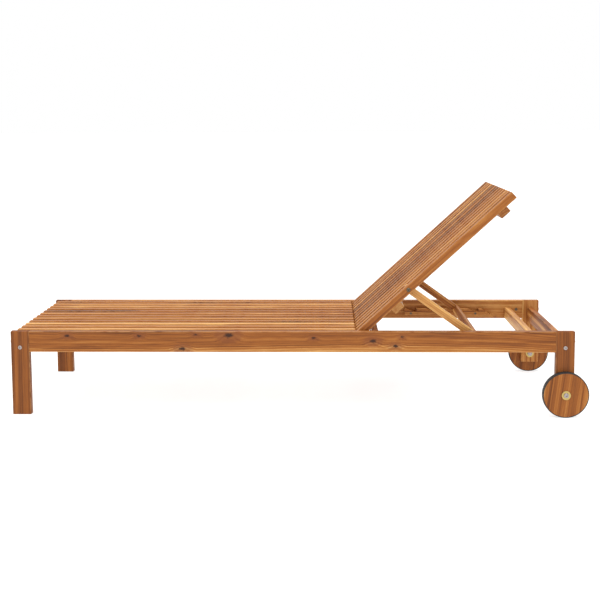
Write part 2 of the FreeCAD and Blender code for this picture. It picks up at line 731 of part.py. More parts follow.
TO_LEFT = ("1; 0; 0", "90")
TO_RIGHT = ("1; 0; 0", "-90")
TO_FOOT = ("0; 1; 0", "-90")
TO_HEAD = ("0; 1; 0", "90")
OUTWARDS = {"left": TO_LEFT, "right": TO_RIGHT}
INWARDS = {"left": TO_RIGHT, "right": TO_LEFT}


def connector_bolts():
    """Socket bolts that hold each leg to its side rail and to its end rail."""
    bolt, socket = socket_bolt("connector", "connector_diameter", "connector_length",
                               "connector_head_diameter", "connector_head_height",
                               "connector_socket_diameter", "connector_socket_depth")
    places = []
    for side in SIDES:
        middle = side_y(side, "board_thickness / 2", "board_thickness / 2")
        face = side_y(side, "0", "0")
        places.append((from_foot("0"), middle, BOLT_LEVEL, *TO_FOOT))
        places.append((from_foot("frame_length"), middle, BOLT_LEVEL, *TO_HEAD))
        for centre in LEG_CENTRES.values():
            places.append((from_foot(centre), face, END_BOLT_LEVEL, *OUTWARDS[side]))
    group("connector_bolts", copies("connector_bolt", bolt, socket, places))


def barrel_nuts():
    """Cross dowels that the connector bolts screw into."""
    barrel = rod("barrel", "barrel_diameter / 2", "barrel_length", "0", "0", "-barrel_length", "z")
    hole = rod("barrel_hole", LOOSE_CONNECTOR, "2 * barrel_diameter", "-barrel_diameter", "0",
               "-board_thickness / 2", "x")
    rail_inset = "(connector_length - connector_tip)"
    places = []
    for side in SIDES:
        inner = side_y(side, "board_thickness", "board_thickness")
        for x in (rail_inset, f"frame_length - {rail_inset}"):
            places.append((from_foot(x), inner, BOLT_LEVEL, *INWARDS[side]))
        along = side_y(side, rail_inset, rail_inset)
        foot_face = f"{LEG_CENTRES['foot']} + board_thickness / 2"
        head_face = f"{LEG_CENTRES['head']} - board_thickness / 2"
        places.append((from_foot(foot_face), along, END_BOLT_LEVEL, "1; 1; 1", "120"))
        places.append((from_foot(head_face), along, END_BOLT_LEVEL, "-1; -1; 1", "120"))
    group("barrel_nuts", copies("barrel_nut", barrel, hole, places))


def wood_screw(name, length):
    """A wood screw pointing up from its head at z = 0, with a cross recess in the head."""
    head = doc.addObject("Part::Cone", name + "_head")
    bind(head, Radius1="screw_head_diameter / 2", Radius2="screw_diameter / 2",
         Height="screw_head_height")
    shank = rod(name + "_shank", "screw_diameter / 2", f"{length} - screw_head_height",
                "0", "0", "screw_head_height", "z")
    whole = join(name + "_whole", [head, shank])
    slots = [box(f"{name}_slot_{i}", "screw_head_diameter / 2", "screw_head_diameter / 9",
                 "screw_head_height / 2", *corner)
             for i, corner in enumerate((("-screw_head_diameter / 4", "-screw_head_diameter / 18", "0"),
                                         ("screw_head_diameter / 18", "-screw_head_diameter / 4", "0",
                                          "0; 0; 1", "90")))]
    return whole, join(name + "_recess", slots)


def screws():
    """Wood screws of the seat, the backrest, the racks and the prop."""
    whole, recess = wood_screw("seat_screw", "seat_screw_grip + screw_bite")
    places = [(from_foot(x), y, f"{SEAT_SUPPORT} - seat_screw_grip")
              for x, slats in SEAT_SCREW_ROWS for y in [seat_slat_centres[i] for i in slats]]
    group("seat_screws", copies("seat_screw", whole, recess, places))

    whole, recess = wood_screw("backrest_screw", "back_screw_grip + screw_bite")
    places = [(f"{start} + batten_breadth / 2", y, "-slat_depth / 2 - back_screw_grip")
              for start in BATTENS.values() for y in back_slat_centres]
    on_backrest(group("backrest_screws", copies("backrest_screw", whole, recess, places)))

    whole, recess = wood_screw("rack_screw", "rack_thickness + rack_screw_bite")
    face = "board_thickness + rack_thickness"
    places = [(from_foot(x), side_y(side, face, face), RACK_SCREW_Z, *OUTWARDS[side])
              for side in SIDES for x in RACK_SCREW_X]
    group("rack_screws", copies("rack_screw", whole, recess, places))

    whole, recess = wood_screw("prop_screw", "prop_bar_thickness + prop_screw_bite")
    centre = f"({ARM_OUTER} + {ARM_INNER}) / 2"
    places = [("prop_length", side_y(side, centre, centre), "0", *TO_FOOT) for side in SIDES]
    on_prop(group("prop_screws", copies("prop_screw", whole, recess, places)))


def pivot_pins():
    """Blind steel pins from the side rails into the stiles, each with a spacer washer."""
    pins = []
    washers = []
    start = "board_thickness - pivot_pin_in_rail"
    end = f"{STILE_OUTER} + {PIN_IN_STILE}"
    spacer_end = f"{STILE_OUTER} - turning_gap"
    for side in SIDES:
        pins.append(rod(f"pivot_pin_{side}", "pivot_pin_diameter / 2", f"{end} - ({start})",
                        from_foot(PIVOT), side_y(side, start, end), PIVOT_LEVEL, "y"))
        thickness = f"{spacer_end} - board_thickness"
        at = (from_foot(PIVOT), side_y(side, "board_thickness", spacer_end), PIVOT_LEVEL)
        ring = rod(f"pivot_washer_disc_{side}", "pivot_washer_diameter / 2", thickness, *at, "y")
        hole = rod(f"pivot_washer_hole_{side}", "pivot_pin_diameter / 2 + hole_clearance",
                   thickness, *at, "y")
        washers.append(cut(f"pivot_washer_{side}", ring, [hole]))
    group("pivot_pins", pins)
    group("pivot_washers", washers)


def prop_bolts():
    """Prop pivot bolts: through a stile and an arm, into the next slat."""
    length = f"({BACK_PITCH} + prop_bolt_in_slat)"
    bolt, socket = socket_bolt("prop_pivot", "prop_bolt_diameter", length,
                               "prop_bolt_head_diameter", "prop_bolt_head_height",
                               "prop_bolt_head_diameter / 2", "prop_bolt_head_height / 2")
    places = [("prop_from_pivot", side_y(side, STILE_OUTER, STILE_OUTER), "0", *OUTWARDS[side])
              for side in SIDES]
    on_backrest(group("prop_pivot_bolts", copies("prop_pivot_bolt", bolt, socket, places)))


def axle_parts():
    """Axle bolts with a washer each side of the leg and outside the wheel, and nuts inside."""
    outer_washer = "(2 * turning_gap + washer_thickness + wheel_width)"
    stack = f"(washer_thickness + {outer_washer} + board_thickness + washer_thickness)"
    length = f"({stack} + axle_nut_height + axle_end_length)"
    bolt, socket = socket_bolt("axle", "axle_diameter", length, "axle_head_diameter",
                               "axle_head_height", "axle_socket_diameter", "axle_socket_depth")
    x = from_foot(LEG_CENTRES["head"])
    head_face = f"-({outer_washer} + washer_thickness)"
    bolts = [(x, side_y(side, head_face, head_face), "wheel_radius", *OUTWARDS[side])
             for side in SIDES]
    group("axle_bolts", copies("axle_bolt", bolt, socket, bolts))

    disc = rod("washer_disc", "washer_diameter / 2", "washer_thickness", "0", "0", "0", "z")
    hole = rod("washer_hole", "axle_diameter / 2 + hole_clearance", "washer_thickness",
               "0", "0", "0", "z")
    faces = (f"-({outer_washer})", "0", "board_thickness + washer_thickness")
    washers = [(x, side_y(side, face, face), "wheel_radius", *OUTWARDS[side])
               for side in SIDES for face in faces]
    group("axle_washers", copies("axle_washer", disc, hole, washers))

    nut = hex_hole("axle_nut_blank", "axle_nut_width / cos(30)", "axle_nut_height", "0")
    thread = rod("axle_nut_thread", "axle_diameter / 2 + hole_clearance", "axle_nut_height",
                 "0", "0", "0", "z")
    face = "board_thickness + washer_thickness"
    nuts = [(x, side_y(side, face, face), "wheel_radius", *INWARDS[side]) for side in SIDES]
    group("axle_nuts", copies("axle_nut", nut, thread, nuts))


back_members()
for each_batten in BATTENS:
    batten(each_batten)
for each_side in SIDES:
    prop_arm(each_side)
prop_bar()
for each_side in SIDES:
    wheel(each_side)
connector_bolts()
barrel_nuts()
screws()
pivot_pins()
prop_bolts()
axle_parts()


# ---------------------------------------------------------------- check and export

doc.recompute()
for item in doc.Objects:
    if "Invalid" in item.State or "Error" in item.State:
        raise RuntimeError(f"{item.Label} failed: {item.State}")
for item in NODES:
    if item.Shape.isNull() or not item.Shape.isValid():
        raise RuntimeError(f"{item.Label} has no valid shape")

os.makedirs("parts", exist_ok=True)
for item in NODES:
    item.Shape.exportStep(f"parts/{item.Label}.step")
print(len(NODES), "sub-parts,", sum(len(item.Shape.Solids) for item in NODES), "solids")
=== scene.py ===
# %% [markdown]
# # A reclining sun lounger in oiled hardwood
# The frame, the racks and the moving backrest come ready-made from CAD. This lesson gives
# them their looks: timber that is solid all the way through, so that the grain on a face
# agrees with the rings on its end, slats with softly rounded edges, and bolts, screws and
# tyres with their real small shapes. First the frame is loaded, and its box is kept.

# %% Load the frame
import math
import random
import bmesh
import bpy
import numpy as np
from mathutils import Matrix, Vector


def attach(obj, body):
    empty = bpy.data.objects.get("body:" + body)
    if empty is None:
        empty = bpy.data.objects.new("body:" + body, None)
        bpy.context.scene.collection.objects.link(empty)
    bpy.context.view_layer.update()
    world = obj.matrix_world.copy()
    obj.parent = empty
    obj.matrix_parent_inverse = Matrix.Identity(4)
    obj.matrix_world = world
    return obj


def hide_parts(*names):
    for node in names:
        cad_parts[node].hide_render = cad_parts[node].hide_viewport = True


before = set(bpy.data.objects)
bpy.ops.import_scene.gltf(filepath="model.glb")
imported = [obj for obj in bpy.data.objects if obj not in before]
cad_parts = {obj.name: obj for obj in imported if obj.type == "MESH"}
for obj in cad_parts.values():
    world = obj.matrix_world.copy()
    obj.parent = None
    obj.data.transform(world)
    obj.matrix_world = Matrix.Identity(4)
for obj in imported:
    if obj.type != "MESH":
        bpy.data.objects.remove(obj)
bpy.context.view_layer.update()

# %% [markdown]
# ## Camera
# The lounger is seen from its left side, from well above the seat, with a long lens. Most
# of the downward look is a tilt of the camera. The rest is a small shift of the lens, as on
# a view camera, which keeps upright legs upright.

# %% Camera
CAMERA_TURN = math.radians(1.62)
CAMERA_TILT = math.radians(90 - 5.44)
CAMERA_ROLL = math.radians(-0.31)

camera_data = bpy.data.cameras.new("camera")
camera = bpy.data.objects.new("camera", camera_data)
bpy.context.scene.collection.objects.link(camera)
bpy.context.scene.camera = camera
camera_data.sensor_width = 36
camera_data.lens = 58.67
camera_data.shift_x = 0.0036
camera_data.shift_y = -0.15
camera.location = (0.0997, -3.6234, 1.0349)
turned = Matrix.Rotation(CAMERA_TURN, 4, "Z") @ Matrix.Rotation(CAMERA_TILT, 4, "X")
camera.rotation_euler = (turned @ Matrix.Rotation(CAMERA_ROLL, 4, "Z")).to_euler()
print("lens", camera_data.lens, "mm, camera", round(camera.location.length, 2), "m away")

# %% [markdown]
# ## Building nodes
# Materials and geometry trees are both made of nodes, and a few short helpers keep the
# lines readable. An input is given a number, or another node's output.

# %% Node helpers
def make(tree, kind, values=(), **settings):
    """Add a node. values are its inputs, in order or by name: numbers or outputs."""
    node = tree.nodes.new(kind)
    for name, value in settings.items():
        setattr(node, name, value)
    pairs = values.items() if isinstance(values, dict) else enumerate(values)
    for key, value in pairs:
        if isinstance(value, bpy.types.NodeSocket):
            tree.links.new(value, node.inputs[key])
        elif value is not None:
            node.inputs[key].default_value = value
    return node


def calc(tree, operation, *values):
    """One step of arithmetic on numbers."""
    return make(tree, "ShaderNodeMath", values, operation=operation).outputs[0]


def vector_calc(tree, operation, *values):
    """One step of arithmetic on vectors."""
    node = make(tree, "ShaderNodeVectorMath", values, operation=operation)
    return node.outputs["Value" if operation in ("LENGTH", "DOT_PRODUCT") else "Vector"]


def fade(tree, value, start, end, low=0.0, high=1.0):
    """Go smoothly from low to high as a value goes from start to end."""
    node = make(tree, "ShaderNodeMapRange", [value, start, end, low, high],
                interpolation_type="SMOOTHSTEP")
    return node.outputs[0]


def noise(tree, vector, detail=2.0, roughness=0.5):
    """Soft noise of about one blob to each unit of the vector."""
    return make(tree, "ShaderNodeTexNoise",
                {"Vector": vector, "Scale": 1.0, "Detail": detail, "Roughness": roughness})


def inputs_of(tree, **kinds):
    """Give a node group its named inputs: a float or vector each, by its default."""
    for name, default in kinds.items():
        kind = "NodeSocketFloat" if isinstance(default, (int, float)) else "NodeSocketVector"
        socket = tree.interface.new_socket(name.replace("_", " ").title(), in_out="INPUT",
                                           socket_type=kind)
        socket.default_value = default
    return make(tree, "NodeGroupInput").outputs


print("node helpers ready")

# %% [markdown]
# ## Timber
# A board is cut out of a log, so its grain is a slice through the log's growth rings. The
# group below measures how far a point is from the log's pith, which runs along the board,
# and lets that distance choose the colour. Long faces then show stripes and arches, and
# the ends show curved rings, with no seam between them. Slow noise bends the rings, fine
# stretched noise adds fibres and pores, and knots push the rings aside.

# %% Knot
def knot_group():
    """One knot: adds its dark eye and its push on the rings to those of earlier knots."""
    tree = bpy.data.node_groups.new("knot", "ShaderNodeTree")
    given = inputs_of(tree, vector=(0, 0, 0), centre=(0, 0, 0), radius=0.005, eye=0.0, push=0.0)
    for name in ("Eye", "Push"):
        tree.interface.new_socket(name, in_out="OUTPUT", socket_type="NodeSocketFloat")
    offset = vector_calc(tree, "SUBTRACT", given["Vector"], given["Centre"])
    ragged = noise(tree, vector_calc(tree, "MULTIPLY", given["Vector"], (110, 90, 230)), 3.0)
    ragged = vector_calc(tree, "SUBTRACT", ragged.outputs["Color"], (0.5, 0.5, 0.5))
    offset = vector_calc(tree, "MULTIPLY_ADD", ragged, (0.020, 0.0, 0.012), offset)
    flat = vector_calc(tree, "MULTIPLY", offset, (0.55, 0.25, 1.0))
    away = calc(tree, "DIVIDE", vector_calc(tree, "LENGTH", flat), given["Radius"])
    eye = calc(tree, "MAXIMUM", given["Eye"], fade(tree, away, 1.15, 0.45))
    reach = calc(tree, "MULTIPLY", fade(tree, away, 3.8, 0.0), given["Radius"])
    push = calc(tree, "ADD", given["Push"], calc(tree, "MULTIPLY", reach, 1.5))
    make(tree, "NodeGroupOutput", [eye, push])
    return tree


KNOT = knot_group()
print("knot group:", len(KNOT.nodes), "nodes")

# %% Rings, fibres and pores
LIGHT_AND_DARK = (
    (0.05, (0.060, 0.017, 0.004, 1)),
    (0.30, (0.185, 0.054, 0.010, 1)),
    (0.50, (0.300, 0.095, 0.016, 1)),
    (0.70, (0.405, 0.158, 0.034, 1)),
    (0.90, (0.565, 0.285, 0.090, 1)),
    (1.00, (0.700, 0.400, 0.125, 1)),
)


def ramp(tree, value, stops):
    node = make(tree, "ShaderNodeValToRGB", [value])
    elements = node.color_ramp.elements
    elements[0].position, elements[0].color = stops[0]
    elements[1].position, elements[1].color = stops[-1]
    for position, colour in stops[1:-1]:
        elements.new(position).color = colour
    return node.outputs[0]


def mix_colour(tree, factor, first, second, kind="MIX"):
    node = make(tree, "ShaderNodeMix", data_type="RGBA", blend_type=kind)
    for socket, value in ((node.inputs[0], factor), (node.inputs[6], first), (node.inputs[7], second)):
        if isinstance(value, bpy.types.NodeSocket):
            tree.links.new(value, socket)
        else:
            socket.default_value = value
    return node.outputs[2]


def timber_group():
    """Oiled hardwood in a board's own space: x along the grain, in metres."""
    tree = bpy.data.node_groups.new("oiled_timber", "ShaderNodeTree")
    given = inputs_of(tree, vector=(0, 0, 0), seed=0.0, pith=(0, 0.01, 0.05), tone=0.0,
                      figure=1.0, sap_radius=1.0, end_grain=0.0, edge=0.0, eye=0.0, push=0.0)
    for name, kind in (("Colour", "Color"), ("Roughness", "Float"), ("Height", "Float")):
        tree.interface.new_socket(name, in_out="OUTPUT", socket_type="NodeSocket" + kind)
    shift = vector_calc(tree, "MULTIPLY", (3.17, 1.73, 2.41), given["Seed"])

    def stretched(along, across, detail=2.0, roughness=0.5):
        scaled = vector_calc(tree, "MULTIPLY", given["Vector"], (along, across, across))
        return noise(tree, vector_calc(tree, "ADD", scaled, shift), detail, roughness)

    # Knots scattered by chance, one to a cell and only in some cells
    spread = vector_calc(tree, "MULTIPLY", given["Vector"], (6.0, 8.5, 4.0))
    cells = make(tree, "ShaderNodeTexVoronoi",
                 {"Vector": vector_calc(tree, "ADD", spread, shift), "Scale": 1.0})
    chance = make(tree, "ShaderNodeSeparateColor", [cells.outputs["Color"]]).outputs
    has_knot = calc(tree, "GREATER_THAN", chance[0], 0.66)
    size = calc(tree, "MULTIPLY_ADD", chance[1], 0.035, 0.022)
    away = calc(tree, "DIVIDE", cells.outputs["Distance"], size)
    eye = calc(tree, "MULTIPLY", fade(tree, away, 1.2, 0.5), has_knot)
    eye = calc(tree, "MAXIMUM", eye, given["Eye"])
    push = calc(tree, "MULTIPLY", fade(tree, away, 4.5, 0.0), has_knot)
    push = calc(tree, "MULTIPLY_ADD", push, 0.006, given["Push"])

    # Distance from the pith, bent by slow noise and by the knots
    wander = vector_calc(tree, "SUBTRACT", stretched(1.3, 5.0).outputs["Color"], (0.5, 0.5, 0.5))
    from_pith = vector_calc(tree, "SUBTRACT", given["Vector"], given["Pith"])
    bent = vector_calc(tree, "MULTIPLY_ADD", wander, (0.0, 0.045, 0.045), from_pith)
    across = vector_calc(tree, "MULTIPLY", bent, (0.0, 1.0, 1.0))
    ripple = calc(tree, "SUBTRACT", stretched(9.0, 70.0).outputs["Fac"], 0.5)
    radius = calc(tree, "ADD", vector_calc(tree, "LENGTH", across), push)
    radius = calc(tree, "MULTIPLY_ADD", ripple, 0.003, radius)

    def rings(per_metre, detail):
        place = calc(tree, "MULTIPLY_ADD", radius, per_metre, given["Seed"])
        node = make(tree, "ShaderNodeTexNoise", {"W": place, "Scale": 1.0, "Detail": detail},
                    noise_dimensions="1D")
        return calc(tree, "SUBTRACT", node.outputs[0], 0.5)

    zones = rings(34.0, 1.0)
    years = rings(210.0, 2.5)
    streaks = calc(tree, "SUBTRACT", stretched(3.2, 48.0, 3.0, 0.6).outputs["Fac"], 0.5)
    fibres = calc(tree, "SUBTRACT", stretched(16.0, 520.0, 3.0, 0.65).outputs["Fac"], 0.5)
    figure = calc(tree, "MULTIPLY", zones, 0.85)
    figure = calc(tree, "MULTIPLY_ADD", years, 0.70, figure)
    figure = calc(tree, "MULTIPLY_ADD", streaks, 0.60, figure)
    figure = calc(tree, "MULTIPLY_ADD", fibres, 0.40, figure)
    shade = calc(tree, "MULTIPLY_ADD", figure, given["Figure"], 0.5)
    shade = calc(tree, "ADD", shade, given["Tone"])
    # Sapwood: the pale outside of the log, beyond a wavering distance from the pith
    beyond = calc(tree, "SUBTRACT", radius, given["Sap Radius"])
    shade = calc(tree, "ADD", shade, fade(tree, beyond, -0.001, 0.003, 0.0, 0.30))
    # Dark mineral lines, thin and long
    lines = fade(tree, stretched(1.7, 120.0, 1.0).outputs["Fac"], 0.63, 0.72, 0.0, -0.22)
    shade = calc(tree, "ADD", shade, lines)
    colour = ramp(tree, shade, LIGHT_AND_DARK)

    # Pores: short dark dashes along the grain
    pores = fade(tree, stretched(90.0, 1500.0, 1.0).outputs["Fac"], 0.60, 0.72)
    colour = mix_colour(tree, calc(tree, "MULTIPLY", pores, 0.35), colour, (0.10, 0.03, 0.012, 1))
    # The dark eye of a knot, and the reddish halo round it
    colour = mix_colour(tree, fade(tree, push, 0.0005, 0.007, 0.0, 0.55), colour,
                        (0.19, 0.055, 0.018, 1))
    colour = mix_colour(tree, eye, colour, (0.045, 0.016, 0.008, 1))
    # End grain soaks up more oil, and the long edges are paler, partly from rubbing and partly as a
    # painted highlight
    colour = mix_colour(tree, calc(tree, "MULTIPLY", given["End Grain"], 0.45), colour,
                        (0.16, 0.055, 0.020, 1))
    colour = mix_colour(tree, calc(tree, "MULTIPLY", given["Edge"], 0.45), colour,
                        (0.58, 0.30, 0.11, 1))
    rough = calc(tree, "MULTIPLY_ADD", fibres, 0.25, 0.47)
    rough = calc(tree, "MULTIPLY_ADD", given["End Grain"], 0.2, rough)
    height = calc(tree, "MULTIPLY_ADD", pores, -0.6, calc(tree, "MULTIPLY", fibres, 0.9))
    height = calc(tree, "MULTIPLY_ADD", eye, -0.8, height)
    make(tree, "NodeGroupOutput", [colour, rough, height])
    return tree


TIMBER = timber_group()
print("timber group:", len(TIMBER.nodes), "nodes")

# %% [markdown]
# ## One finish for each board
# Each board gets a material of its own that lays the timber group along it. A Mapping node
# moves the object's coordinates into the board's own space. The board's place in its log,
# its seed and its tone differ, as they do in a stack of real boards.

# %% Board materials
def board_space(tree, centre, turn):
    """Object coordinates seen from a board's centre, with x along its grain."""
    where = make(tree, "ShaderNodeTexCoord")
    mapping = make(tree, "ShaderNodeMapping", [where.outputs["Object"], centre, turn.to_euler()],
                   vector_type="TEXTURE")
    return mapping.outputs[0], where.outputs["Normal"]


def rubbed_and_highlit_edge(tree, place, half):
    """1 on a board's long edges, fading out within a few millimetres: rubbed wear and a painted highlight.
    """
    inside = vector_calc(tree, "SUBTRACT", half, vector_calc(tree, "ABSOLUTE", place))
    parts = make(tree, "ShaderNodeSeparateXYZ", [inside]).outputs
    corner = calc(tree, "ADD", parts[1], parts[2])
    wear_and_highlight_patches = noise(tree, vector_calc(tree, "MULTIPLY", place, (30, 90, 90))).outputs["Fac"]
    return calc(tree, "MULTIPLY", fade(tree, corner, 0.0045, 0.0005), fade(tree, wear_and_highlight_patches, 0.30, 0.60))


def timber(name, centre, half, turn, seed, tone=0.0, figure=1.3, pith=None, sap=1.0, knots=()):
    """A material for one board."""
    material = bpy.data.materials.new(name)
    material.use_nodes = True
    tree = material.node_tree
    shader = tree.nodes["Principled BSDF"]
    place, normal = board_space(tree, centre, turn)
    along = turn @ Vector((1, 0, 0))
    facing = calc(tree, "ABSOLUTE", vector_calc(tree, "DOT_PRODUCT", normal, along))
    chance = random.Random(seed)
    pith = pith or (0, chance.uniform(-0.02, 0.02), chance.choice((-1, 1)) * chance.uniform(0.03, 0.09))
    eye, push = 0.0, 0.0
    for x, z, radius in knots:
        knot = make(tree, "ShaderNodeGroup", node_tree=KNOT)
        for key, value in (("Vector", place), ("Eye", eye), ("Push", push)):
            if isinstance(value, bpy.types.NodeSocket):
                tree.links.new(value, knot.inputs[key])
        knot.inputs["Centre"].default_value = (x, 0, z)
        knot.inputs["Radius"].default_value = radius
        eye, push = knot.outputs
    wood = make(tree, "ShaderNodeGroup", node_tree=TIMBER)
    for key, value in (("Vector", place), ("Seed", chance.uniform(0, 50)), ("Pith", pith),
                       ("Tone", tone), ("Figure", figure), ("Sap Radius", sap),
                       ("End Grain", fade(tree, facing, 0.6, 0.9)),
                       ("Edge", rubbed_and_highlit_edge(tree, place, half)), ("Eye", eye), ("Push", push)):
        if isinstance(value, bpy.types.NodeSocket):
            tree.links.new(value, wood.inputs[key])
        else:
            wood.inputs[key].default_value = value
    tree.links.new(wood.outputs["Colour"], shader.inputs["Base Color"])
    tree.links.new(wood.outputs["Roughness"], shader.inputs["Roughness"])
    bump = make(tree, "ShaderNodeBump", {"Strength": 0.35, "Distance": 0.0006,
                                         "Height": wood.outputs["Height"]})
    tree.links.new(bump.outputs[0], shader.inputs["Normal"])
    shader.inputs["IOR"].default_value = 1.45
    shader.inputs["Specular IOR Level"].default_value = 0.26
    return material


print("board material ready")

# %% Directions of the boards
RECLINE = math.radians(42.5)
PROP_DROP = math.radians(35.78)
LENGTHWISE = Matrix.Identity(3)
ACROSS = Matrix.Rotation(math.pi / 2, 3, "Z")
UPRIGHT = Matrix.Rotation(-math.pi / 2, 3, "Y")
BACK = Matrix.Rotation(-RECLINE, 3, "Y")
PROP = Matrix.Rotation(PROP_DROP, 3, "Y")


def oriented(node_name, turn):
    """Centre and half size of a CAD node, measured along its own board's directions."""
    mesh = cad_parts[node_name].data
    points = np.empty(len(mesh.vertices) * 3)
    mesh.vertices.foreach_get("co", points)
    local = points.reshape(-1, 3) @ np.array(turn)
    low, high = local.min(0), local.max(0)
    return turn @ Vector((low + high) / 2), Vector((high - low) / 2)


def give(node_name, material):
    """Put a material on a CAD node, whose shape stays as it is."""
    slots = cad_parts[node_name].data.materials
    slots.clear()
    slots.append(material)


print("stile centre", [round(part, 3) for part in oriented("backrest_stile_left", BACK)[0]])

# %% Finish the fixed boards
TONES = {
    "side_rail_left": -0.08, "side_rail_right": 0.18, "foot_leg_left": -0.17, "wheel_leg_left": -0.18,
    "foot_leg_right": -0.13, "wheel_leg_right": 0.24, "foot_end_rail": -0.02, "head_end_rail": 0.04,
    "seat_cross_rail_middle": -0.04, "seat_cross_rail_hinge": -0.08, "backrest_stop_rail": -0.12,
    "head_cross_rail": 0.24, "rack_left": 0.10, "rack_right": 0.14, "backrest_batten_lower": 0.40,
    "backrest_batten_upper": -0.07, "prop_arm_left": 0.60, "prop_arm_right": 0.14, "prop_bar": 0.06,
    "wheel_disc_left": -0.02, "wheel_disc_right": -0.08,
}
# Boards that are plainer than the rest
PLAIN = {
    "foot_leg_left": 0.65, "foot_leg_right": 0.6, "wheel_leg_left": 0.65, "wheel_leg_right": 0.8,
    "wheel_disc_left": 0.65, "wheel_disc_right": 0.7, "prop_arm_left": 0.8,
    "side_rail_left": 1.1, "side_rail_right": 1.0,
}


def direction_of(node_name):
    """The lie of the board that a CAD node is cut from."""
    if node_name.startswith(("side_rail", "rack")):
        return LENGTHWISE
    if "_leg_" in node_name:
        return UPRIGHT
    if node_name.startswith("wheel_disc"):
        return Matrix.Rotation(math.radians(7), 3, "Y") @ UPRIGHT
    if node_name.startswith("backrest_batten"):
        return BACK @ ACROSS
    if node_name.startswith("prop_arm"):
        return PROP
    if node_name == "prop_bar":
        return PROP @ ACROSS
    return ACROSS


# Knots of the left rail: distance from its middle, height from its middle, radius
RAIL_KNOTS = (
    (-0.778, 0.021, 0.0060), (-0.527, 0.021, 0.0060), (-0.329, 0.026, 0.0055),
    (-0.215, 0.023, 0.0105), (-0.377, -0.024, 0.0080), (0.080, 0.014, 0.0055),
    (0.285, 0.003, 0.0080), (0.362, -0.014, 0.0065), (0.385, 0.018, 0.0050),
)

# Boards that show sapwood: where their pith lies, and how far the heartwood reaches from it
PITHS = {"side_rail_left": ((0, 0.03, 0.055), 0.086), "side_rail_right": ((0, -0.02, 0.060), 0.102),
         "head_cross_rail": ((0, 0.01, -0.040), 0.052), "head_end_rail": ((0, 0.01, -0.040), 0.064),
         "wheel_leg_right": ((0, 0.012, -0.060), 0.090)}

for number, (node_name, tone) in enumerate(TONES.items()):
    turn = direction_of(node_name)
    centre, half = oriented(node_name, turn)
    knots = RAIL_KNOTS if node_name == "side_rail_left" else ()
    pith, sap = PITHS.get(node_name, (None, 1.0))
    give(node_name, timber("timber_" + node_name, centre, half, turn, 100 + number, tone,
                           PLAIN.get(node_name, 1.2), pith, sap, knots))
print(len(TONES), "boards finished")

# %% [markdown]
# ## Slats
# The seat and the backrest are rows of equal slats, so one geometry tree draws a row. A
# curve runs along a slat, with its points crowded towards both ends, where the shape
# turns. A rounded section swept along it makes the slat, and a short last step rounds the
# ends. The row is then instances of that slat, each numbered, so that the timber can give
# every slat its own piece of the log.

